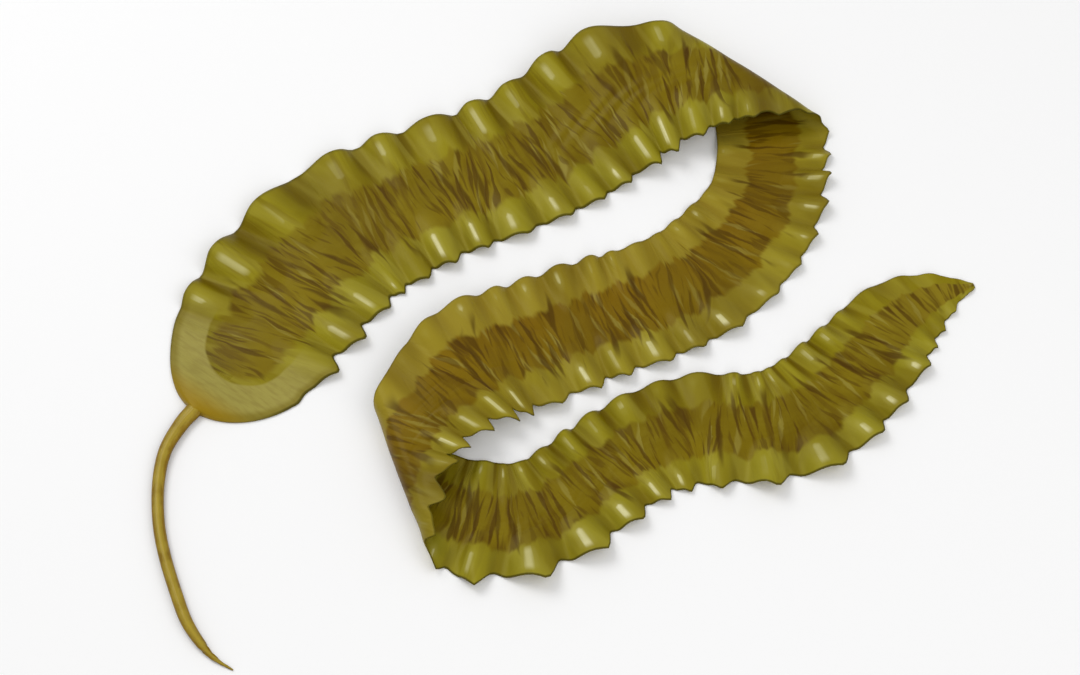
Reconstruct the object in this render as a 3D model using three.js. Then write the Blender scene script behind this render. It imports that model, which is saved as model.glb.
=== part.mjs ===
import * as THREE from 'three';
import { mergeVertices } from 'three/addons/utils/BufferGeometryUtils.js';

// A sugar kelp frond laid out on a flat surface: one long ruffled blade, folded over on itself twice,
// and the cut-off stipe that carried it. Millimetres, +Z up, the surface at z = 0. The origin is on the
// surface, under the middle of the frond's outline.

// ---------------------------------------------------------------- driving dimensions

// Midline of the blade as it lies, one list for each run between folds: [x, y, blade width].
const BLADE_RUNS = [
  [
    [-343, -74, 150], [-303, -18, 167], [-264, 49, 181], [-213, 121, 183], [-158, 160, 178],
    [-102, 188, 170], [-48, 211, 170], [5, 240, 173], [54, 273, 172], [104, 301, 165],
    [170, 319, 144], [239, 326, 121],
  ],
  [
    [239, 326, 121], [243, 294, 119], [245, 259, 117], [243, 220, 116], [235, 176, 121],
    [211, 131, 130], [163, 80, 138], [104, 48, 140], [46, 26, 142], [-7, 1, 143], [-57, -27, 141],
    [-94, -64, 123], [-125, -109, 104], [-143, -156, 100],
  ],
  [
    [-143, -156, 100], [-105, -177, 116], [-66, -192, 128], [-25, -195, 127], [15, -181, 122],
    [50, -154, 118], [86, -125, 116], [121, -105, 119], [161, -95, 124], [204, -95, 126],
    [243, -88, 128], [276, -69, 126], [305, -41, 119], [333, -8, 110], [365, 33, 93], [402, 59, 58],
    [443, 73, 5],
  ],
];

// Midline of the stipe, from its torn end to the blade: [x, y, stipe width].
const STIPE_RUN = [
  [-288, -349, 5], [-303, -340, 7.5], [-316, -328, 9], [-334, -302, 11.5], [-348, -268, 12],
  [-361, -230, 12], [-369, -195, 12], [-372, -155, 12.5], [-368, -120, 13.5], [-355, -91, 16],
  [-343, -74, 18],
];

// Ruffles along the blade: [distance from the stipe, height of the left and the right margin above the
// mean, left and right wavelength, how far left and right crests stand out past the edge]. On the inside
// of a bend the wavelength is longer here and on the outside shorter, to even them out.
const RUFFLES = [
  [0, 0, 0, 56, 54, 0, 0], [60, 1, 0, 60, 54, 0, 0], [95, 6, 3, 56, 52, 1, 8],
  [130, 8, 6, 52, 52, 1, 9], [190, 8, 7, 60, 50, 1, 6], [300, 7, 7, 54, 42, 1, 5.5],
  [460, 7, 6.5, 50, 38, 1, 5], [560, 8, 7.5, 52, 38, 1, 6], [650, 7, 8, 48, 38, 1, 6],
  [730, 5, 6, 44, 32, 0, 4], [790, 5, 5, 48, 26, 0, 4], [870, 4, 5.5, 44, 27, 0, 4],
  [960, 4.5, 6, 34, 34, 0, 4], [1150, 5, 7, 31, 40, 0, 6], [1260, 5, 8, 33, 40, 0, 9],
  [1345, 5, 8, 40, 34, 0, 8], [1400, 5, 8, 54, 30, 0, 8], [1500, 6, 9, 46, 32, 0, 9],
  [1580, 6, 8, 32, 42, 0, 7.5], [1720, 5, 7, 30, 45, 0, 6], [1840, 6, 8, 32, 44, 0, 6.5],
  [1980, 5, 6, 30, 36, 0, 5], [2060, 2, 3, 28, 28, 0, 3], [2120, 0, 0, 28, 28, 0, 0],
];
const [LEFT_HEIGHT, RIGHT_HEIGHT, LEFT_WAVE, RIGHT_WAVE, LEFT_TOOTH, RIGHT_TOOTH] = [1, 2, 3, 4, 5, 6];

const ORIGIN = [33, 19];          // middle of the outline, in the coordinates of the lists above
const FOLD_HEIGHT = 27;           // height of the upper layer's mid-surface at a fold
const FOLD_REACH = 190;           // how far along the blade a fold is felt
const FOLD_LEVEL = 70;            // the upper layer stays level this far from the fold
const FOLD_SLOPE = 150;           // and comes down to the surface over this length
const FOLD_CALM = 70;             // ruffles grow back to full height over this length on the left
const FOLD_FREE = 26;             // and over this one on the right, where the folds gape
const FOLD_RUFFLE = 0.15;         // share of their height that is left in the bend itself
const MID_THICKNESS = 3.2;
const MARGIN_THICKNESS = 2;
const THICK_BAND = 0.8;           // the blade thins over this share of its half width
const NECK_THICKNESS = 9;
const NECK_LENGTH = 55;
const NECK_WIDTH = 17;
const NECK_CROWN = 0.6;           // how much thinner the neck is at its edges
const BASE_LENGTH = 98;           // length over which the rounded base reaches its full width
const TIP_LENGTH = 60;
const TIP_THINNESS = 0.6;         // thickness of the tip over that of the blade
const SETTLE = 0.8;               // how much the limp blade flattens on the surface
const FLAT_BAND = 0.15;           // share of the half width that stays nearly flat
const FLAT_RUFFLE = 0.05;         // share of the ruffles' height that is left there
const MERGE_BAND = 0.25;          // left and right ruffles merge within this share of the half width
const EDGE_CURL = 0.25;           // share of their height that right ruffles lose at the very edge
const CURL_START = 0.72;          // share of the half width where they start to lose it
const CREST_SHIFT = 0.35;         // 0 gives even waves, 1 gives broad crests and knife-sharp troughs
const FULL_CREST = 8;             // height of a crest that leans that far
const PHASE_SWING = 0.8;          // how unevenly the ruffles are spaced
const HEIGHT_SWING = 0.3;         // and how uneven their heights are
const TOOTH_START = 0.4;          // the pointed stand-out of the crests grows from here to the edge
const TOOTH_LEAN = 0.7;           // how far the points lean along the blade
const LEAST_ROOM = 0.3;           // ruffles keep at least this share of their size inside a bend
const TURN_LENGTH = 80;           // length over which a fold turns the blade's faces round
const STIPE_FLATNESS = 0.72;      // stipe height over its width
const NECK_FLATNESS = 0.5;        // the same where it meets the blade
const NECK_SPREAD = 60;           // length of stipe over which one becomes the other
const JOINT_GAP = 0.3;            // clearance between the stipe and the blade

const BASE_STATIONS = 14;         // closely spaced cross-sections on the rounded base
const BASE_ZONE = 48;
const STATIONS = 360;
const BLADE_STRIPS = 5;
const STIPE_STATIONS = 44;
const STIPE_SIDES = 12;
const SAMPLES = 24;               // samples for each row of a midline

// ---------------------------------------------------------------- small helpers

const clamp = THREE.MathUtils.clamp;
const smooth = (x) => THREE.MathUtils.smoothstep(x, 0, 1);
const mix = THREE.MathUtils.lerp;

// Slow irregular swing between -1 and 1, so that no two ruffles are alike.
const drift = (s, seed) => 0.6 * Math.sin(s / 31 + 5 * seed) + 0.4 * Math.sin(s / 17.3 + 11 * seed);

// Reads column `column` of a list of rows sorted by their first column.
function lookup(rows, column, x) {
  const last = rows.length - 1;
  if (x <= rows[0][0]) return rows[0][column];
  if (x >= rows[last][0]) return rows[last][column];
  let low = 0;
  let high = last;
  while (high - low > 1) {
    const middle = (low + high) >> 1;
    if (rows[middle][0] <= x) low = middle;
    else high = middle;
  }
  const share = (x - rows[low][0]) / (rows[high][0] - rows[low][0]);
  return mix(rows[low][column], rows[high][column], share);
}

// ---------------------------------------------------------------- midlines

// Samples a midline: rows of [distance, x, y, width, heading, curvature].
function midline(rows, start) {
  const points = rows.map(([x, y, width]) => new THREE.Vector3(x - ORIGIN[0], y - ORIGIN[1], width));
  const curve = new THREE.CatmullRomCurve3(points, false, 'catmullrom', 0.5);
  const samples = curve.getPoints((rows.length - 1) * SAMPLES);
  let distance = start;
  const line = samples.map((point, i) => {
    if (i > 0) distance += Math.hypot(point.x - samples[i - 1].x, point.y - samples[i - 1].y);
    return [distance, point.x, point.y, point.z, 0, 0];
  });
  const last = line.length - 1;
  line.forEach((row, i) => {
    const [before, after] = [line[Math.max(i - 1, 0)], line[Math.min(i + 1, last)]];
    row[4] = Math.atan2(after[2] - before[2], after[1] - before[1]);
    if (i > 0) row[4] -= 2 * Math.PI * Math.round((row[4] - line[i - 1][4]) / (2 * Math.PI));
  });
  line.forEach((row, i) => {
    const [before, after] = [line[Math.max(i - SAMPLES / 2, 0)], line[Math.min(i + SAMPLES / 2, last)]];
    row[5] = (after[4] - before[4]) / (after[0] - before[0]);
  });
  return line;
}

// side is 1 where the blade's upper face shows and -1 where its under face does.
const runs = [];
for (const rows of BLADE_RUNS) {
  const start = runs.length ? runs.at(-1).end : 0;
  const line = midline(rows, start);
  runs.push({ line, start, end: line.at(-1)[0], side: runs.length % 2 ? -1 : 1 });
}
const BLADE_LENGTH = runs.at(-1).end;

// A fold turns the blade over about a line that halves the angle between the two runs' headings.
const folds = runs.slice(1).map((after, i) => {
  const before = runs[i];
  const [into, out] = [before.line.at(-1)[4], after.line[0][4]];
  const across = new THREE.Vector2(Math.cos(into) - Math.cos(out), Math.sin(into) - Math.sin(out));
  const [, x, y] = after.line[0];
  const radius = FOLD_HEIGHT / 2;
  const bend = (Math.PI / 2) * radius;
  return { at: before.end, side: before.side, x, y, across: across.normalize(), radius, bend };
});

// ---------------------------------------------------------------- ruffles

// Phase of the waves down each margin, by adding up the wavelengths millimetre by millimetre.
const phases = [[0, 0, 0]];
for (let s = 1; s <= BLADE_LENGTH + 10; s += 1) {
  const [, left, right] = phases.at(-1);
  const step = (column) => (2 * Math.PI) / lookup(RUFFLES, column, s - 0.5);
  phases.push([s, left + step(LEFT_WAVE), right + step(RIGHT_WAVE)]);
}

// 1 where the upper face shows, -1 where the under face does, turning over smoothly at each fold.
const facing = (s) =>
  folds.reduce((sign, fold) => sign * (1 - 2 * smooth((s - fold.at) / TURN_LENGTH + 0.5)), 1);

// 0 on the right half of the blade and 1 on the left, with a smooth change in the middle.
const leftShare = (v) => smooth((v / MERGE_BAND + 1) / 2);

// Size and phase of the ruffle at a distance s from the stipe and a place v across, -1 right to 1 left,
// how far it leans along the blade and how far it stands out past the edge.
function ruffle(s, v) {
  const reach = Math.abs(v);
  const left = leftShare(v);
  const either = (rightColumn, leftColumn) =>
    mix(lookup(RUFFLES, rightColumn, s), lookup(RUFFLES, leftColumn, s), left);
  const swing = PHASE_SWING * mix(drift(s, 3.1), drift(s, 1.7), left);
  const phase = mix(lookup(phases, 2, s), lookup(phases, 1, s), left) + 0.5 * reach + swing;
  const uneven = 1 + HEIGHT_SWING * mix(drift(0.8 * s, 2.2), drift(0.8 * s, 0.6), left);
  const curl = 1 - EDGE_CURL * (1 - left) * smooth((reach - CURL_START) / (1 - CURL_START));
  const margin = curl * mix(FLAT_RUFFLE, 1, smooth((reach - FLAT_BAND) / (1 - FLAT_BAND)));
  const crest = Math.max(either(RIGHT_HEIGHT, LEFT_HEIGHT) * uneven * margin, 0);
  const wavelength = either(RIGHT_WAVE, LEFT_WAVE);
  const shift = (CREST_SHIFT * wavelength * Math.min(crest / FULL_CREST, 1)) / (2 * Math.PI);
  const leaning = phase + TOOTH_LEAN * Math.cos(phase) * mix(-1, 1, left) * facing(s);
  const pointed = 0.5 * Math.cos(leaning) + 0.5 - Math.abs(Math.sin(leaning / 2));
  const atEdge = smooth((reach - TOOTH_START) / (1 - TOOTH_START));
  const tooth = either(RIGHT_TOOTH, LEFT_TOOTH) * atEdge * uneven * pointed;
  return { crest, phase, shift, tooth };
}

// ---------------------------------------------------------------- blade

// Point of the blade's mid-surface.
function midSurface(s, v) {
  const index = s < runs[0].end ? 0 : s < runs[1].end ? 1 : 2;
  const { line, side } = runs[index];
  const heading = lookup(line, 4, s);
  const [cos, sin] = [Math.cos(heading), Math.sin(heading)];
  let width = lookup(line, 3, s);
  if (index === 0) {
    const rounding = Math.sqrt(1 - (1 - clamp(s / BASE_LENGTH, 0, 1)) ** 2);
    width = Math.max(width * rounding, NECK_WIDTH);
  }
  const { crest, phase, shift, tooth } = ruffle(s, v);
  const room = clamp(1 - lookup(line, 5, s) * side * v * (width / 2), LEAST_ROOM, 1);
  const height = crest * room * room;
  const wave = height * Math.cos(phase);
  const along = shift * Math.sin(phase) * room;
  const calm = mix(FOLD_FREE, FOLD_CALM, leftShare(v));
  const out = side * (v * (width / 2) + Math.sign(v) * tooth);
  let x = lookup(line, 1, s) - sin * out + cos * along;
  let y = lookup(line, 2, s) + cos * out + sin * along;
  let z = side * facing(s) * wave + height;

  folds.forEach((fold, i) => {
    if (index !== i && index !== i + 1) return;
    const reach = (x - fold.x) * fold.across.x + (y - fold.y) * fold.across.y;
    const past = index === i ? reach : -reach;       // negative on the upper layer, positive below
    const rise = FOLD_HEIGHT * smooth((past + FOLD_LEVEL + FOLD_SLOPE) / FOLD_SLOPE);
    if (Math.abs(s - fold.at) >= FOLD_REACH) {
      if (index === i) z += rise;
      return;
    }
    const free = smooth((Math.abs(past) - fold.bend) / calm);
    const outward = fold.side * facing(s) * wave * mix(FOLD_RUFFLE, 1, free);
    let moved = past;
    if (past <= -fold.bend) {
      z = rise + outward + height * free;
    } else if (past >= fold.bend) {
      moved = -past;
      z = height * free - outward;
    } else {
      const angle = past / fold.radius + Math.PI / 2;
      moved = (fold.radius + outward) * Math.sin(angle) - fold.bend;
      z = fold.radius + (fold.radius + outward) * Math.cos(angle);
    }
    x += (moved - reach) * fold.across.x;
    y += (moved - reach) * fold.across.y;
  });
  return new THREE.Vector3(x, y, z);
}

function bladeThickness(s, v) {
  const leaf = mix(MID_THICKNESS, MARGIN_THICKNESS, smooth(Math.abs(v) / THICK_BAND));
  const neck = (1 - smooth(s / NECK_LENGTH)) * (1 - NECK_CROWN * v * v);
  const tip = mix(1, TIP_THINNESS, smooth((s - BLADE_LENGTH + TIP_LENGTH) / TIP_LENGTH));
  return mix(leaf, NECK_THICKNESS, neck) * tip;
}

// Point of the blade's skin: layer is 1 on the upper face and -1 on the under face.
function bladeSkin(s, v, layer) {
  const step = 0.6;
  const run = runs.find(({ end }) => s < end) ?? runs.at(-1);
  const ahead = midSurface(Math.min(s + step, run.end - 1e-6), v);
  const back = midSurface(Math.max(s - step, run.start), v);
  const left = midSurface(s, Math.min(v + 0.01, 1));
  const right = midSurface(s, Math.max(v - 0.01, -1));
  const normal = ahead.sub(back).cross(left.sub(right)).normalize();
  const half = bladeThickness(s, v) / 2;
  const point = midSurface(s, v);
  point.z += half - SETTLE;
  const lowest = point.z - Math.abs(normal.z) * half;
  if (lowest < 0) point.z -= lowest;                  // the blade lies on the surface, not in it
  return point.addScaledVector(normal, layer * half);
}

// Cross-sections crowd together on the rounded base and are even after it.
function station(index) {
  if (index < BASE_STATIONS) return BASE_ZONE * (index / BASE_STATIONS) ** 2;
  const share = (index - BASE_STATIONS) / (STATIONS - BASE_STATIONS);
  return mix(BASE_ZONE, BLADE_LENGTH - 1e-3, share);
}

// Moves every vertex of a geometry and welds the copies along its edges.
function shaped(geometry, place) {
  const { position } = geometry.attributes;
  const point = new THREE.Vector3();
  for (let i = 0; i < position.count; i += 1) {
    point.fromBufferAttribute(position, i);
    position.setXYZ(i, ...place(point));
  }
  geometry.deleteAttribute('normal');
  geometry.deleteAttribute('uv');
  const welded = mergeVertices(geometry);
  welded.computeVertexNormals();
  return welded;
}

// A box is cut into triangles along opposite diagonals on its upper and its under face. Where the slab
// twists they would cross, so the under face takes the upper one's.
function matchDiagonals(slab) {
  const { start, count } = slab.groups[5];
  const corners = slab.index.array;
  for (let i = start; i < start + count; i += 6) {
    const [a, b, d, , c] = corners.slice(i, i + 6);
    corners.set([a, b, c, a, c, d], i);
  }
}

function makeBlade() {
  const slab = new THREE.BoxGeometry(1, 2, 2, STATIONS, BLADE_STRIPS, 1);
  matchDiagonals(slab);
  const geometry = shaped(slab, ({ x, y, z }) => {
    const index = Math.round((x + 0.5) * STATIONS);
    return bladeSkin(station(index), y, z);
  });
  const olive = new THREE.MeshStandardMaterial({ color: 0x7a6a1e, roughness: 0.42, flatShading: true });
  const blade = new THREE.Mesh(geometry, olive);
  blade.name = 'blade';
  return blade;
}

// ---------------------------------------------------------------- stipe

function makeStipe() {
  const line = midline(STIPE_RUN, 0);
  const length = line.at(-1)[0] - JOINT_GAP;
  const rod = new THREE.CylinderGeometry(1, 1, 1, STIPE_SIDES, STIPE_STATIONS);
  const geometry = shaped(rod, ({ x, y, z }) => {
    const s = (y + 0.5) * length;
    const heading = lookup(line, 4, s);
    const width = lookup(line, 3, s);
    const right = (x * width) / 2;
    const flatness = mix(NECK_FLATNESS, STIPE_FLATNESS, smooth((length - s) / NECK_SPREAD));
    const height = (width * flatness) / 2;
    return new THREE.Vector3(
      lookup(line, 1, s) + Math.sin(heading) * right,
      lookup(line, 2, s) - Math.cos(heading) * right,
      height + z * height,
    );
  });
  const brown = new THREE.MeshStandardMaterial({ color: 0x9c8434, roughness: 0.38, flatShading: true });
  const stipe = new THREE.Mesh(geometry, brown);
  stipe.name = 'stipe';
  return stipe;
}

// ---------------------------------------------------------------- assembly

const frond = new THREE.Group();
frond.add(makeStipe(), makeBlade());

export default frond;
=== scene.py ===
import math

import bmesh
import bpy
import numpy as np
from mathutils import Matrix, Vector


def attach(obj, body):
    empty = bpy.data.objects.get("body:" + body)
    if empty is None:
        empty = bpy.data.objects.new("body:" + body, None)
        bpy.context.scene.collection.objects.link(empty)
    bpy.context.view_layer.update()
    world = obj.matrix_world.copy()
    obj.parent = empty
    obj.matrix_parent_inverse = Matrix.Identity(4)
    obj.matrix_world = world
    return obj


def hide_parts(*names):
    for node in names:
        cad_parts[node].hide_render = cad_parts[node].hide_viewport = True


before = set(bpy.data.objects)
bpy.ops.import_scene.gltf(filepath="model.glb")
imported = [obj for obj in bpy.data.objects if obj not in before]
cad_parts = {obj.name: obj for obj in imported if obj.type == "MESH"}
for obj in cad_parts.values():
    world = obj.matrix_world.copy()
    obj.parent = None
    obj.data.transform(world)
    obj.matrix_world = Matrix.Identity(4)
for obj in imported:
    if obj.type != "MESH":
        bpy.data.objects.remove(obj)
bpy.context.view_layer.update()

# ------------------------------------------------------------------ blade
# The blade is one undivided strap of tough, leathery tissue about two metres long. Its middle
# band is thick, flat and dark, and its thin margins have grown longer than the middle, so they
# ruffle. It lies folded over on itself twice, showing its under face between the two folds.

MM = 0.001  # sizes are in millimetres, and the frame is in metres

# Midline as it lies, one list for each run between folds: x, y and blade width in millimetres.
BLADE_RUNS = [
    [
        (-343, -74, 150), (-303, -18, 167), (-264, 49, 181), (-213, 121, 183), (-158, 160, 178),
        (-102, 188, 170), (-48, 211, 170), (5, 240, 173), (54, 273, 172), (104, 301, 165),
        (170, 319, 144), (239, 326, 121),
    ],
    [
        (239, 326, 121), (243, 294, 119), (245, 259, 117), (243, 220, 116), (235, 176, 121),
        (211, 131, 130), (163, 80, 138), (104, 48, 140), (46, 26, 142), (-7, 1, 143),
        (-57, -27, 141), (-94, -64, 123), (-125, -109, 104), (-143, -156, 100),
    ],
    [
        (-143, -156, 100), (-105, -177, 116), (-66, -192, 128), (-25, -195, 127), (15, -181, 122),
        (50, -154, 118), (86, -125, 116), (121, -105, 119), (161, -95, 124), (204, -95, 126),
        (243, -88, 128), (276, -69, 126), (305, -41, 119), (333, -8, 110), (365, 33, 93),
        (402, 59, 58), (443, 73, 5),
    ],
]
ORIGIN = (33, 19)  # middle of the outline, in the coordinates of the lists above

# Ruffles, by distance from the stipe: height of the left and the right margin above the mean, their
# wavelengths, and how far their crests stand out past the edge.
RUFFLES = np.array([
    (0, 0, 0, 56, 54, 0, 0), (60, 1, 0, 60, 54, 0, 0), (95, 6, 3, 56, 52, 1, 8),
    (130, 8, 6, 52, 52, 1, 9), (190, 8, 7, 60, 50, 1, 6), (300, 7, 7, 54, 42, 1, 5.5),
    (460, 7, 6.5, 50, 38, 1, 5), (560, 8, 7.5, 52, 38, 1, 6), (650, 7, 8, 48, 38, 1, 6),
    (730, 5, 6, 44, 32, 0, 4), (790, 5, 5, 48, 26, 0, 4), (870, 4, 5.5, 44, 27, 0, 4),
    (960, 4.5, 6, 34, 34, 0, 4), (1150, 5, 7, 31, 40, 0, 6), (1260, 5, 8, 33, 40, 0, 9),
    (1345, 5, 8, 40, 34, 0, 8), (1400, 5, 8, 54, 30, 0, 8), (1500, 6, 9, 46, 32, 0, 9),
    (1580, 6, 8, 32, 42, 0, 7.5), (1720, 5, 7, 30, 45, 0, 6), (1840, 6, 8, 32, 44, 0, 6.5),
    (1980, 5, 6, 30, 36, 0, 5), (2060, 2, 3, 28, 28, 0, 3), (2120, 0, 0, 28, 28, 0, 0),
], float)
LEFT_HEIGHT, RIGHT_HEIGHT, LEFT_WAVE, RIGHT_WAVE, LEFT_TOOTH, RIGHT_TOOTH = range(1, 7)

FOLD_HEIGHT = 27.0  # height of the upper layer at a fold
FOLD_REACH = 190.0  # how far along the blade a fold is felt
FOLD_LEVEL = 70.0  # the upper layer stays level this far from the fold
FOLD_SLOPE = 150.0  # and comes down to the surface over this length
FOLD_CALM = 70.0  # ruffles grow back to full height over this length on the left margin
FOLD_FREE = 26.0  # and over this one on the right margin, where the folds gape
FOLD_RUFFLE = 0.15  # share of their height that is left in the bend itself
MID_THICKNESS = 2.8
MARGIN_THICKNESS = 1.1
THICK_BAND = 0.8  # the blade thins over this share of its half width
NECK_THICKNESS = 9.0
NECK_LENGTH = 55.0
NECK_WIDTH = 17.0
NECK_EDGE = 0.2  # thickness of the neck's edges over that of its middle
BASE_LENGTH = 98.0  # length over which the rounded base reaches its full width
TIP_LENGTH = 60.0
TIP_THINNESS = 0.6  # thickness of the tip over that of the blade
SETTLE = 0.8  # how much the limp blade flattens on the surface
FLAT_BAND = 0.15  # share of the half width that stays nearly flat
FLAT_RUFFLE = 0.05  # share of the ruffles' height that is left there
PLEAT_RISE = 1.15  # how late the ruffles rise towards the edge; 1 is a straight fan pleat
MERGE_BAND = 0.25  # left and right ruffles merge within this share of the half width
EDGE_CURL = 0.08  # how much of their height the right margin's ruffles lose at the very edge
CURL_START = 0.72  # share of the half width where they start to lose it
CREST_SHIFT = 0.3  # 0 gives even waves, 1 gives broad crests and knife-sharp troughs
FULL_CREST = 8.0  # height of a crest that leans that far
PHASE_SWING = 0.8  # how unevenly the ruffles are spaced
HEIGHT_SWING = 0.3  # and how uneven their heights are
PLEAT_SLANT = 0.5  # how far a pleat runs on along the blade, as it nears the edge
TOOTH_START = 0.4  # the crests' points grow from here to the edge
TOOTH_LEAN = 0.7  # how far the points lean along the blade
LEAST_ROOM = 0.3  # ruffles keep at least this share of their size inside a bend
TURN_LENGTH = 80.0  # length over which a fold turns the blade's faces round

STATIONS = 760
STRIPS = 60
BASE_ZONE = 48.0  # cross-sections crowd together over this length of the base
BASE_SHARE = 0.05  # and take this share of them
SAMPLES = 24  # samples for each row of a midline
RUFFLED_CREST = 4.0  # crests this high or higher take the full painted light and shade of a ruffle
FOLD_SHADE_REACH = 34.0  # distance from a fold where its painted shade ends


def smooth(x):
    x = np.clip(x, 0.0, 1.0)
    return x * x * (3.0 - 2.0 * x)


def mix(low, high, share):
    return low + (high - low) * share


def drift(s, seed):
    """Slow irregular swing between -1 and 1, so that no two ruffles are alike."""
    return 0.6 * np.sin(s / 31 + 5 * seed) + 0.4 * np.sin(s / 17.3 + 11 * seed)


def midline(rows, start):
    """A Catmull-Rom curve through the rows: distance, x, y, width, heading and curvature."""
    knots = np.array(rows, float) - (*ORIGIN, 0)
    knots = np.vstack([2 * knots[0] - knots[1], knots, 2 * knots[-1] - knots[-2]])
    t = (np.arange(SAMPLES) / SAMPLES)[:, None]
    pieces = []
    for a, b, c, d in zip(knots, knots[1:], knots[2:], knots[3:]):
        cubic = (2 * a - 5 * b + 4 * c - d) * t**2 + (3 * b - a - 3 * c + d) * t**3
        pieces.append(0.5 * (2 * b + (c - a) * t + cubic))
    line = np.vstack([*pieces, knots[-2:-1]])
    steps = np.hypot(*np.diff(line[:, :2], axis=0).T)
    distance = start + np.concatenate([[0], np.cumsum(steps)])
    last = len(line) - 1
    index = np.arange(last + 1)
    chord = line[np.minimum(index + 1, last), :2] - line[np.maximum(index - 1, 0), :2]
    heading = np.unwrap(np.arctan2(chord[:, 1], chord[:, 0]))
    before, after = np.maximum(index - SAMPLES // 2, 0), np.minimum(index + SAMPLES // 2, last)
    curvature = (heading[after] - heading[before]) / (distance[after] - distance[before])
    return {"s": distance, "x": line[:, 0], "y": line[:, 1], "width": line[:, 2],
            "heading": heading, "curvature": curvature}


def read(line, key, s):
    return np.interp(s, line["s"], line[key])


runs = []
for number, rows in enumerate(BLADE_RUNS):
    line = midline(rows, runs[-1]["end"] if runs else 0.0)
    runs.append({"line": line, "start": line["s"][0], "end": line["s"][-1],
                 "side": -1.0 if number % 2 else 1.0})  # 1 shows the upper face, -1 the under face
BLADE_LENGTH = runs[-1]["end"]

folds = []
for before, after in zip(runs, runs[1:]):
    into, out = before["line"]["heading"][-1], after["line"]["heading"][0]
    across = np.array([math.cos(into) - math.cos(out), math.sin(into) - math.sin(out)])
    radius = FOLD_HEIGHT / 2
    folds.append({"at": before["end"], "side": before["side"], "across": across / np.hypot(*across),
                  "place": (after["line"]["x"][0], after["line"]["y"][0]),
                  "radius": radius, "bend": math.pi / 2 * radius})


def listed(s, column):
    return np.interp(s, RUFFLES[:, 0], RUFFLES[:, column])


# Phase of the waves down each margin, by adding up the wavelengths millimetre by millimetre.
phase_s = np.arange(0.0, BLADE_LENGTH + 11)
left_phase, right_phase = (
    np.concatenate([[0], np.cumsum(2 * math.pi / listed(phase_s[1:] - 0.5, column))])
    for column in (LEFT_WAVE, RIGHT_WAVE)
)


def facing(s):
    """1 where the upper face shows, -1 where the under face does."""
    sign = np.ones_like(s)
    for fold in folds:
        sign = sign * (1 - 2 * smooth((s - fold["at"]) / TURN_LENGTH + 0.5))
    return sign


def left_share(v):
    """0 on the right half of the blade and 1 on the left, with a smooth change in the middle."""
    return smooth((v / MERGE_BAND + 1) / 2)


def ruffle(s, v):
    """Height, phase, shift along the blade and stand-out of the ruffles at s along and v across."""
    left = left_share(v)
    swing = PHASE_SWING * mix(drift(s, 3.1), drift(s, 1.7), left)
    count = mix(np.interp(s, phase_s, right_phase), np.interp(s, phase_s, left_phase), left)
    phase = count + PLEAT_SLANT * np.abs(v) + swing
    uneven = 1 + HEIGHT_SWING * mix(drift(0.8 * s, 2.2), drift(0.8 * s, 0.6), left)
    reach = np.abs(v)
    rise = np.clip((reach - FLAT_BAND) / (1 - FLAT_BAND), 0, 1) ** PLEAT_RISE
    curl = 1 - EDGE_CURL * (1 - left) * smooth((reach - CURL_START) / (1 - CURL_START))
    margin = curl * mix(FLAT_RUFFLE, 1, rise)
    height = mix(listed(s, RIGHT_HEIGHT), listed(s, LEFT_HEIGHT), left)
    crest = np.maximum(height * uneven * margin, 0)
    wavelength = mix(listed(s, RIGHT_WAVE), listed(s, LEFT_WAVE), left)
    shift = CREST_SHIFT * wavelength * np.minimum(crest / FULL_CREST, 1) / (2 * math.pi)
    leaning = phase + TOOTH_LEAN * np.cos(phase) * mix(-1, 1, left) * facing(s)
    pointed = 0.5 * np.cos(leaning) + 0.5 - np.abs(np.sin(leaning / 2))
    at_edge = smooth((reach - TOOTH_START) / (1 - TOOTH_START))
    stand = mix(listed(s, RIGHT_TOOTH), listed(s, LEFT_TOOTH), left) * at_edge
    return crest, phase, shift, stand * uneven * pointed


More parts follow.
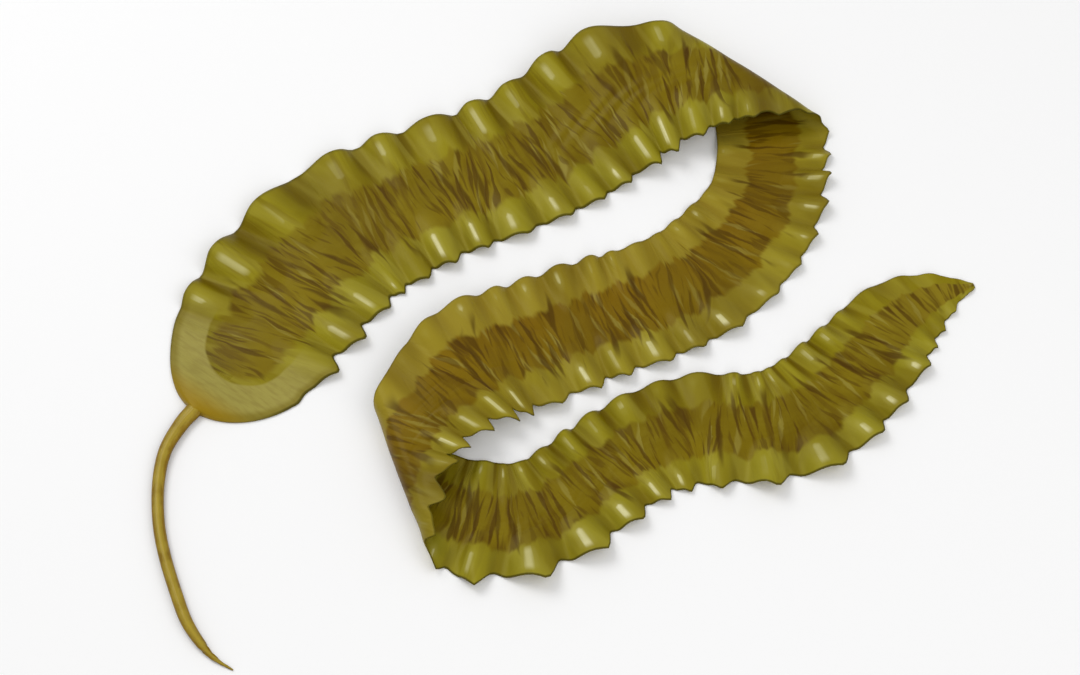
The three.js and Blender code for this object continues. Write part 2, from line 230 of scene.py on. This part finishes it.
def mid_surface(s, v):
    """Points of the blade's mid-surface, in millimetres."""
    place = np.zeros((*s.shape, 3))
    crest, phase, shift, tooth = ruffle(s, v)
    face = facing(s)
    for number, run in enumerate(runs):
        here = (s >= run["start"]) & ((s < run["end"]) | (run is runs[-1]))
        line, side = run["line"], run["side"]
        at, out = s[here], v[here]
        heading = read(line, "heading", at)
        cos, sin = np.cos(heading), np.sin(heading)
        width = read(line, "width", at)
        if number == 0:
            rounding = np.sqrt(1 - (1 - np.clip(at / BASE_LENGTH, 0, 1)) ** 2)
            width = np.maximum(width * rounding, NECK_WIDTH)
        room = np.clip(1 - read(line, "curvature", at) * side * out * width / 2, LEAST_ROOM, 1)
        height = crest[here] * room**2
        wave = height * np.cos(phase[here])
        along = shift[here] * np.sin(phase[here]) * room
        calm = mix(FOLD_FREE, FOLD_CALM, left_share(out))
        out = side * (out * width / 2 + np.sign(out) * tooth[here])
        x = read(line, "x", at) - sin * out + cos * along
        y = read(line, "y", at) + cos * out + sin * along
        z = side * face[here] * wave + height
        for index, fold in enumerate(folds):
            if number not in (index, index + 1):
                continue
            before = number == index
            (fold_x, fold_y), (across_x, across_y) = fold["place"], fold["across"]
            reach = (x - fold_x) * across_x + (y - fold_y) * across_y
            past = reach if before else -reach  # negative on the upper layer, positive below
            rise = FOLD_HEIGHT * smooth((past + FOLD_LEVEL + FOLD_SLOPE) / FOLD_SLOPE)
            near = np.abs(at - fold["at"]) < FOLD_REACH
            free = smooth((np.abs(past) - fold["bend"]) / calm)
            outward = fold["side"] * face[here] * wave * mix(FOLD_RUFFLE, 1, free)
            angle = past / fold["radius"] + math.pi / 2
            upper, lower = past <= -fold["bend"], past >= fold["bend"]
            bent = (fold["radius"] + outward) * np.sin(angle) - fold["bend"]
            moved = np.where(upper, past, np.where(lower, -past, bent))
            turned = fold["radius"] + (fold["radius"] + outward) * np.cos(angle)
            level = np.where(upper, rise + outward + height * free,
                             np.where(lower, height * free - outward, turned))
            z = np.where(near, level, z + rise if before else z)
            x = np.where(near, x + (moved - reach) * across_x, x)
            y = np.where(near, y + (moved - reach) * across_y, y)
        place[here] = np.stack([x, y, z], -1)
    return place


def blade_thickness(s, v):
    leaf = mix(MID_THICKNESS, MARGIN_THICKNESS, smooth(np.abs(v) / THICK_BAND))
    neck = 1 - smooth(s / NECK_LENGTH)
    tip = mix(1, TIP_THINNESS, smooth((s - BLADE_LENGTH + TIP_LENGTH) / TIP_LENGTH))
    oval = NECK_THICKNESS * np.sqrt(np.maximum(1 - v * v, NECK_EDGE**2))
    return mix(leaf, oval, neck) * tip


def blade_skin(s, v, layer):
    """Points of the skin: layer is 1 on the upper face and -1 on the under face."""
    step, side_step = 0.6, 0.01  # the skin's slope is measured between points this far apart
    low, high = np.full_like(s, 0.0), np.full_like(s, BLADE_LENGTH)
    for run in runs:
        here = (s >= run["start"]) & (s <= run["end"])
        low[here], high[here] = run["start"], run["end"] - 1e-6
    ahead = mid_surface(np.minimum(s + step, high), v) - mid_surface(np.maximum(s - step, low), v)
    left = mid_surface(s, np.minimum(v + side_step, 1))
    left = left - mid_surface(s, np.maximum(v - side_step, -1))
    normal = np.cross(ahead, left)
    normal /= np.linalg.norm(normal, axis=-1)[..., None]
    half = blade_thickness(s, v) / 2
    place = mid_surface(s, v)
    place[..., 2] += half - SETTLE
    lowest = place[..., 2] - np.abs(normal[..., 2]) * half
    place[..., 2] -= np.minimum(lowest, 0)  # the blade lies on the surface, not in it
    return place + normal * (layer * half)[..., None]


blade_mesh = bmesh.new()
bmesh.ops.create_grid(blade_mesh, x_segments=STATIONS, y_segments=STRIPS, size=0.5)
upper_skin = bmesh.ops.extrude_face_region(blade_mesh, geom=blade_mesh.faces[:])["geom"]
for item in upper_skin:
    if isinstance(item, bmesh.types.BMVert):
        item.co.z = 1.0
bmesh.ops.recalc_face_normals(blade_mesh, faces=blade_mesh.faces)

flat = np.array([vert.co[:] for vert in blade_mesh.verts])
share = flat[:, 0] + 0.5
blade_s = np.where(share < BASE_SHARE, BASE_ZONE * (share / BASE_SHARE) ** 2,
                   mix(BASE_ZONE, BLADE_LENGTH - 1e-3, (share - BASE_SHARE) / (1 - BASE_SHARE)))
blade_v = np.clip(2 * flat[:, 1], -1, 1)
blade_layer = np.where(flat[:, 2] > 0.5, 1.0, -1.0)
crest, phase, _, _ = ruffle(blade_s, blade_v)
full_width = np.interp(blade_s, np.concatenate([run["line"]["s"] for run in runs]),
                       np.concatenate([run["line"]["width"] for run in runs]))
short = np.clip(1 - blade_s / BASE_LENGTH, 0, 1)  # 1 at the stipe, 0 past the rounded base
breadth = blade_v * full_width / 2 * np.sqrt(1 - short**2)
nearest_fold = np.min([np.abs(blade_s - fold["at"]) for fold in folds], axis=0)
ruffled = np.minimum(crest / RUFFLED_CREST, 1)


def finished_mesh(shape, name, points, **values):
    """Moves the vertices, stores each one's values for the material, and makes a smooth mesh."""
    layers = [shape.verts.layers.float.new(value) for value in values]
    for vert, point, *numbers in zip(shape.verts, points, *values.values()):
        vert.co = point
        for layer, number in zip(layers, numbers):
            vert[layer] = number
    bmesh.ops.remove_doubles(shape, verts=shape.verts, dist=1e-6)
    bmesh.ops.holes_fill(shape, edges=shape.edges)
    bmesh.ops.recalc_face_normals(shape, faces=shape.faces)
    for face in shape.faces:
        face.smooth = True
    made = bpy.data.meshes.new(name)
    shape.to_mesh(made)
    shape.free()
    piece = bpy.data.objects.new(name, made)
    bpy.context.scene.collection.objects.link(piece)
    return piece


blade = finished_mesh(
    blade_mesh, "blade_leaf", blade_skin(blade_s, blade_v, blade_layer) * MM,
    along=blade_s * MM, breadth=breadth * MM, across=blade_v,
    rim=np.hypot(short, 2 * breadth / full_width), under=(1 - blade_layer) / 2,
    wave=np.cos(phase) * ruffled, flank=-np.sin(phase) * facing(blade_s) * ruffled,
    # how near each point is to a fold, for the painted shade there
    fold=1 - smooth(nearest_fold / FOLD_SHADE_REACH),
)


class Wire:
    """A shader socket that does arithmetic: each operator adds the Math node that it stands for."""

    tree = None

    def __init__(self, socket):
        self.socket = socket

    @classmethod
    def node(cls, kind, settings=None, inputs=None, output=0):
        node = cls.tree.nodes.new(kind)
        for name, value in (settings or {}).items():
            setattr(node, name, value)
        for key, value in (inputs or {}).items():
            if isinstance(value, Wire):
                cls.tree.links.new(value.socket, node.inputs[key])
            else:
                node.inputs[key].default_value = value
        return cls(node.outputs[output]) if node.outputs else None

    def math(self, operation, *others):
        inputs = dict(enumerate((self, *others)))
        return self.node("ShaderNodeMath", {"operation": operation}, inputs)

    def __add__(self, other):
        return self.math("ADD", other)

    def __sub__(self, other):
        return self.math("SUBTRACT", other)

    def __mul__(self, other):
        return self.math("MULTIPLY", other)

    def __rsub__(self, other):
        return (self * -1.0) + other

    __radd__ = __add__
    __rmul__ = __mul__

    def step(self, low, high):
        """0 below low, 1 above high, smooth between."""
        inputs = {"Value": self, "From Min": low, "From Max": high}
        return self.node("ShaderNodeMapRange", {"interpolation_type": "SMOOTHSTEP"}, inputs)


def material(name):
    made = bpy.data.materials.new(name)
    made.use_nodes = True
    made.node_tree.nodes.clear()
    Wire.tree = made.node_tree
    return made


def stored(name):
    return Wire.node("ShaderNodeAttribute", {"attribute_name": name}, output=2)


def noise(place, scale, detail=2.0, roughness=0.5):
    inputs = {"Vector": place, "Scale": scale, "Detail": detail, "Roughness": roughness}
    return Wire.node("ShaderNodeTexNoise", {}, inputs)


def vector(x, y, z):
    return Wire.node("ShaderNodeCombineXYZ", {}, {"X": x, "Y": y, "Z": z})


def blend(share, low, high):
    """Mixes two colours; a plain colour is sRGB, 0 to 255."""
    picked = [value if isinstance(value, Wire) else srgb(*value) for value in (low, high)]
    inputs = {0: share, 6: picked[0], 7: picked[1]}
    return Wire.node("ShaderNodeMix", {"data_type": "RGBA"}, inputs, output=2)


def srgb(red, green, blue):
    def linear(value):
        value /= 255
        return value / 12.92 if value <= 0.04045 else ((value + 0.055) / 1.055) ** 2.4
    return (linear(red), linear(green), linear(blue), 1.0)


def painted(color, *coats):
    """Lays colours over a first one; each coat is the share that it covers and its colour."""
    for share, coat in coats:
        color = blend(share, color, coat)
    return color


def finish_surface(color, roughness, coat, height, depth, **constants):
    """Principled surface with a bump; depth is the bump's height in metres."""
    bump = Wire.node("ShaderNodeBump", {}, {"Height": height, "Distance": depth, "Strength": 1.0})
    inputs = {"Base Color": color, "Roughness": roughness, "Coat Weight": coat, "Normal": bump}
    shader = Wire.node("ShaderNodeBsdfPrincipled", {}, inputs | constants)
    Wire.node("ShaderNodeOutputMaterial", {}, {"Surface": shader})


def spindles(tilt, length, width, seed, body, rarity):
    """Scattered slender strokes across the blade: body is how far each one reaches, rarity how few."""
    place = vector((along + wide * tilt + waver) * (1 / width), wide * (1 / length) + sheet + seed, 0.0)
    settings = {"voronoi_dimensions": "2D", "feature": "F1", "distance": "MANHATTAN"}
    inputs = {"Vector": place, "Scale": 1.0, "Randomness": 1.0}
    reach = Wire.node("ShaderNodeTexVoronoi", settings, inputs)
    chance = Wire(reach.socket.node.outputs["Color"])
    chance = Wire.node("ShaderNodeSeparateColor", {}, {"Color": chance})
    return (1.0 - reach.step(*body)) * chance.step(*rarity)


WET_OLIVE = (1.0, 0.86, 0.2, 1.0)  # the film of water over olive tissue reflects warm
SKIN_RELIEF = 0.0007  # height of the skin's bumps, in metres
UNDER_SHIFT = 0.7  # moves the patterns on, so that the under face has its own
WAVER = 0.007  # how far a stroke strays from its line, in metres
TILT_SWING = 1.5  # how much the strokes' slant changes along the blade

leaf = material("wet_kelp_blade")
along, wide, across = stored("along"), stored("breadth"), stored("across")
rim_place, wave, flank, under = stored("rim"), stored("wave"), stored("flank"), stored("under")
sheet = under * UNDER_SHIFT
spot = vector(along, wide, sheet)
broad = noise(spot, 9.0, detail=3.0)
mottle = noise(spot, 42.0, detail=4.0, roughness=0.6)
grain = noise(vector(along, wide * 0.2, sheet), 260.0, detail=2.0)

# Strokes and fibres cross the blade, and lean and waver together.
waver = (noise(spot, 26.0) - 0.5) * WAVER
bend = (noise(vector(along, 0.0, sheet), 16.0) - 0.5) * TILT_SWING
lean = along + wide * bend + waver
fibres = noise(vector(lean, wide * 0.08, sheet), 115.0, detail=2.0)
strokes = noise(vector(lean + wide * 0.12, wide * 0.11, sheet + 4.0), 230.0, detail=1.0)
clusters = noise(vector(along + wide * bend, wide * 0.3, sheet + 2.0), 24.0, detail=1.0)
dark = spindles(bend, 0.094, 0.0078, 3.1, (0.22, 0.42), (0.25, 0.45))
long = spindles(bend + 0.15, 0.12, 0.011, 8.7, (0.16, 0.4), (0.4, 0.6))
pale = spindles(bend - 0.12, 0.07, 0.009, 14.3, (0.18, 0.42), (0.4, 0.7))

# The median ends in a fringe at a little under half of the half width. Panels are the pale flats
# of the margins, and washes are brown bands across the whole blade.
border = noise(vector(along, wide * 0.2, sheet + 11.0), 34.0, detail=1.0) - 0.5
fringe = (fibres - 0.5) * 0.4
median = 1.0 - (rim_place + border * 0.2 + fringe + wave * 0.04).step(0.40, 0.50)
panels = noise(vector(along + wide * 0.2, across.step(-0.1, 0.1), sheet + 6.0), 44.0, detail=1.0)
wash = noise(vector(along + wide * 0.25, wide * 0.25, sheet + 9.0), 19.0, detail=3.0)

# Painted light and shade on the ruffles: each crest and one flank are painted lighter, and each trough
# and the other flank are painted darker.
painted_crest_light = (wave * 0.9 + flank * 0.4).step(-0.2, 0.9)
painted_trough_shade = (wave * -0.85 - flank * 0.5).step(0.2, 0.95)
under_tint = under * (0.25 + across.step(-0.6, 0.8) * 0.25)

margin_color = painted(
    blend(broad.step(0.35, 0.65), (116, 103, 2), (130, 116, 8)),  # two olives
    # painted light on the crests and lit flanks
    (painted_crest_light * 0.7, (150, 139, 32)),
    # painted shade in the troughs and shaded flanks
    (painted_trough_shade * 0.85, (92, 74, 0)),
    (fibres.step(0.48, 0.66) * 0.45, (100, 80, 0)),
    (panels.step(0.48, 0.56) * 0.35, (158, 147, 54)),
    ((1.0 - across.step(-0.6, -0.3)) * 0.25, (154, 148, 38)),  # the right margin is yellower
    (under_tint * 1.2, (152, 130, 40)),
)
median_color = painted(
    blend(broad.step(0.35, 0.65), (106, 87, 0), (122, 103, 6)),  # two olive browns
    (mottle.step(0.45, 0.7) * 0.4, (130, 114, 24)),
    # painted light on the crests and lit flanks
    (painted_crest_light * 0.45, (138, 124, 32)),
    # painted shade in the troughs and shaded flanks
    (painted_trough_shade * 0.5, (86, 64, 0)),
    (under_tint * 1.3, (122, 86, 2)),
    (along.step(1.9, 2.06) * 0.45, (140, 122, 30)),  # paler towards the tip
    (pale * 0.55, (148, 136, 60)),
    (fibres.step(0.48, 0.62) * clusters.step(0.38, 0.58) * 0.65, (82, 54, 0)),
    (strokes.step(0.56, 0.66) * 0.55, (74, 46, 0)),
    (dark * 0.75, (70, 42, 0)),
)

# A pale, stippled band with a darker rim goes round the base, and the neck is golden like the stipe.
base_band = (1.0 - along.step(0.07, 0.12)) * (rim_place + border * 0.1).step(0.54, 0.58)
base_rim = rim_place.step(0.86, 0.95) * (1.0 - along.step(0.09, 0.13))
neck = 1.0 - along.step(0.002, 0.034)

# Painted highlights on some of the crests, where water would stand: a soft painted sheen with a hard
# painted glint inside it.
lit = wave * 0.85 + flank * 0.5
highlight_spots = rim_place.step(0.46, 0.6) * (1.0 - rim_place.step(0.82, 0.94))
highlight_spots = highlight_spots * noise(vector(along, under, across.step(-0.1, 0.1)), 22.0).step(0.38, 0.56)
highlight_spots = highlight_spots * (1.0 - across.step(0.0, 0.5) * 0.35)
painted_sheen = lit.step(0.6, 0.95) * highlight_spots
painted_glint = lit.step(0.89, 0.97) * highlight_spots

# The very edge is painted darker, as shade on its thickness, most of all on the right margin of the
# upper face.
painted_edge_shade = rim_place.step(0.955, 0.985) * along.step(0.02, 0.06)
painted_edge_shade = painted_edge_shade * (0.85 - across.step(-0.5, 0.5) * 0.55) * (1.0 - under * 0.4)

leaf_color = painted(
    blend(median, margin_color, median_color),
    (wash.step(0.48, 0.66) * 0.4, (98, 76, 0)),
    (long * (1.0 - rim_place.step(0.5, 0.8)) * 0.75, (68, 42, 0)),
    (base_band * 0.85, (156, 146, 76)),
    (base_band * grain.step(0.4, 0.7) * 0.4, (126, 110, 52)),
    (base_rim * 0.6, (110, 94, 4)),
    # painted sheen
    (painted_sheen * 0.3, (176, 168, 90)),
    (neck * 0.8, (150, 118, 8)),
    # painted glint
    (painted_glint * 0.75, (212, 206, 146)),
    # painted shade at the folds
    (stored("fold") * 0.5, (78, 52, 6)),
    # painted shade along the edge
    (painted_edge_shade, (64, 58, 6)),
)
relief = mottle * 0.4 + grain * 0.15 + (dark - pale) * 0.2 - fibres * 0.3
# the painted glint's spots also get a glossier coat
finish_surface(leaf_color, 0.36 + mottle * 0.2, painted_glint * 0.6 + 0.05, relief, SKIN_RELIEF,
               **{"Coat Roughness": 0.2, "Specular IOR Level": 0.25, "Specular Tint": WET_OLIVE})
blade.data.materials.append(leaf)
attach(blade, "root")
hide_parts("blade")

# ------------------------------------------------------------------ stipe
# The stipe is the stalk that held the blade up in the water: solid, smooth and springy, oval in
# section, thinnest where it tore away from its holdfast and widest where it spreads into the blade.

# Midline from the torn end to the blade: x, y and stipe width.
STIPE_RUN = [
    (-288, -349, 5), (-303, -340, 7.5), (-316, -328, 9), (-334, -302, 11.5), (-348, -268, 12),
    (-361, -230, 12), (-369, -195, 12), (-372, -155, 12.5), (-368, -120, 13.5), (-355, -91, 16),
    (-343, -74, 18),
]
STIPE_FLATNESS = 0.72  # height over width
NECK_FLATNESS = 0.5  # the same where it meets the blade
FLATTENING = 60.0  # length over which the stipe flattens towards the blade
STIPE_RINGS = 240
STIPE_SIDES = 48
INTO_BLADE = 4.0  # the stipe's tissue runs on into the blade's neck
BURIED_WIDTH = 0.9  # its width at the end of that, over the neck's
TORN_LENGTH = 34.0  # the thin torn end
TORN_CHANGE = 7.0  # length over which it widens to the whole stalk
TORN_WIDTHS = (0.3, 0.8)  # its width over the stalk's, at the tear and at its upper end
RAGGED = 0.16  # how uneven its outline is, in four ridges that twist along it
STALK_RELIEF = 0.0005  # height of the fibres, in metres

stipe_line = midline(STIPE_RUN, 0.0)
stipe_length = stipe_line["s"][-1]
stipe_mesh = bmesh.new()
bmesh.ops.create_grid(stipe_mesh, x_segments=STIPE_RINGS, y_segments=STIPE_SIDES, size=0.5)
flat = np.array([vert.co[:] for vert in stipe_mesh.verts])
stipe_s = (flat[:, 0] + 0.5) * (stipe_length + INTO_BLADE)
turn = flat[:, 1] * 2 * math.pi
heading = read(stipe_line, "heading", stipe_s)
beyond = np.maximum(stipe_s - stipe_length, 0)
torn = 1 - smooth((stipe_s - TORN_LENGTH) / TORN_CHANGE)
ragged = 1 + RAGGED * torn * np.sin(4 * turn + 0.5 * stipe_s) * np.sin(0.23 * stipe_s)
half_width = read(stipe_line, "width", stipe_s) / 2
half_width = half_width * mix(1, mix(*TORN_WIDTHS, stipe_s / TORN_LENGTH), torn)
half_width = half_width * ragged * mix(1, BURIED_WIDTH, smooth(beyond / INTO_BLADE))
flatness = mix(NECK_FLATNESS, STIPE_FLATNESS, smooth((stipe_length - stipe_s) / FLATTENING))
right = np.sin(turn) * half_width
stipe = finished_mesh(
    stipe_mesh, "stipe_stalk",
    MM * np.stack([
        read(stipe_line, "x", stipe_s) + np.sin(heading) * right + np.cos(heading) * beyond,
        read(stipe_line, "y", stipe_s) - np.cos(heading) * right + np.sin(heading) * beyond,
        half_width * flatness * (1 + np.cos(turn)),
    ], -1),
    along=stipe_s * MM, crown=np.cos(turn),
)

stalk = material("wet_kelp_stipe")
along, crown = stored("along"), stored("crown")
fibre = noise(vector(along * 0.12, crown, 0.0), 90.0, detail=3.0)
mottle = noise(vector(along, crown * 0.02, 0.0), 55.0, detail=3.0)
stalk_color = painted(
    blend(mottle.step(0.35, 0.65), (132, 100, 0), (152, 122, 6)),  # two golden browns
    ((crown + (mottle - 0.5) * 0.8).step(0.62, 0.98) * 0.55, (180, 160, 62)),  # painted highlight along the top
    ((1.0 - crown.step(-0.1, 0.55)) * 0.8, (98, 68, 2)),  # and painted shade down the sides
    (fibre.step(0.55, 0.75) * 0.35, (112, 80, 6)),
)
finish_surface(stalk_color, 0.34 + mottle * 0.15, 0.1 + mottle * 0.2, fibre, STALK_RELIEF,
               **{"Coat Roughness": 0.15, "Specular IOR Level": 0.3, "Specular Tint": WET_OLIVE})
stipe.data.materials.append(stalk)
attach(stipe, "root")
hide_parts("stipe")

# ------------------------------------------------------------------ floor, light and camera
# The frond lies on a plain pale floor, under three soft studio lights and an even white sky. The
# camera looks down at it at a slant, from the side where the stipe's torn end lies.

FLOOR_DEPTH = 0.0005  # in metres, so that the floor and the frond's under side stay apart
floor_mesh = bmesh.new()
bmesh.ops.create_grid(floor_mesh, x_segments=1, y_segments=1, size=6.0)
mesh = bpy.data.meshes.new("floor")
floor_mesh.to_mesh(mesh)
floor_mesh.free()
floor = bpy.data.objects.new("floor", mesh)
floor.location.z = -FLOOR_DEPTH
bpy.context.scene.collection.objects.link(floor)
pale_floor = material("pale_floor")
floor_look = {"Base Color": (0.97, 0.97, 0.97, 1.0), "Roughness": 0.9}
shader = Wire.node("ShaderNodeBsdfPrincipled", {}, floor_look)
Wire.node("ShaderNodeOutputMaterial", {}, {"Surface": shader})
mesh.materials.append(pale_floor)
bpy.context.scene.view_settings.view_transform = "Standard"

TARGET = np.array([-ORIGIN[0], -ORIGIN[1], 20.0]) * MM  # the camera and the lights aim at it


def area_light(name, place, size, power):
    """A round soft light: place and size in metres, power in watts."""
    light = bpy.data.lights.new(name, "AREA")
    light.shape, light.size, light.energy = "DISK", size, power
    lamp = bpy.data.objects.new(name, light)
    lamp.location = place
    lamp.rotation_euler = aim_at(place)
    bpy.context.scene.collection.objects.link(lamp)


def aim_at(place):
    return (Vector(TARGET) - Vector(place)).to_track_quat("-Z", "Y").to_euler()


area_light("key", (-1.5, 1.3, 2.5), 2.0, 34)
area_light("fill", (1.8, -0.6, 2.2), 2.4, 16)
area_light("front", (0.0, -2.6, 1.6), 2.4, 12)
world = bpy.data.worlds.new("studio")
world.use_nodes = True
world.node_tree.nodes["Background"].inputs["Color"].default_value = (1, 1, 1, 1)
world.node_tree.nodes["Background"].inputs["Strength"].default_value = 0.56
bpy.context.scene.world = world

CAMERA_ELEVATION = math.radians(60)
CAMERA_DISTANCE = 2.55  # metres
camera_data = bpy.data.cameras.new("camera")
camera_data.lens, camera_data.sensor_width = 85, 36
camera = bpy.data.objects.new("camera", camera_data)
towards_camera = np.array([0, -math.cos(CAMERA_ELEVATION), math.sin(CAMERA_ELEVATION)])
camera.location = TARGET + CAMERA_DISTANCE * towards_camera
camera.rotation_euler = (math.pi / 2 - CAMERA_ELEVATION, 0, 0)
bpy.context.scene.collection.objects.link(camera)
bpy.context.scene.camera = camera
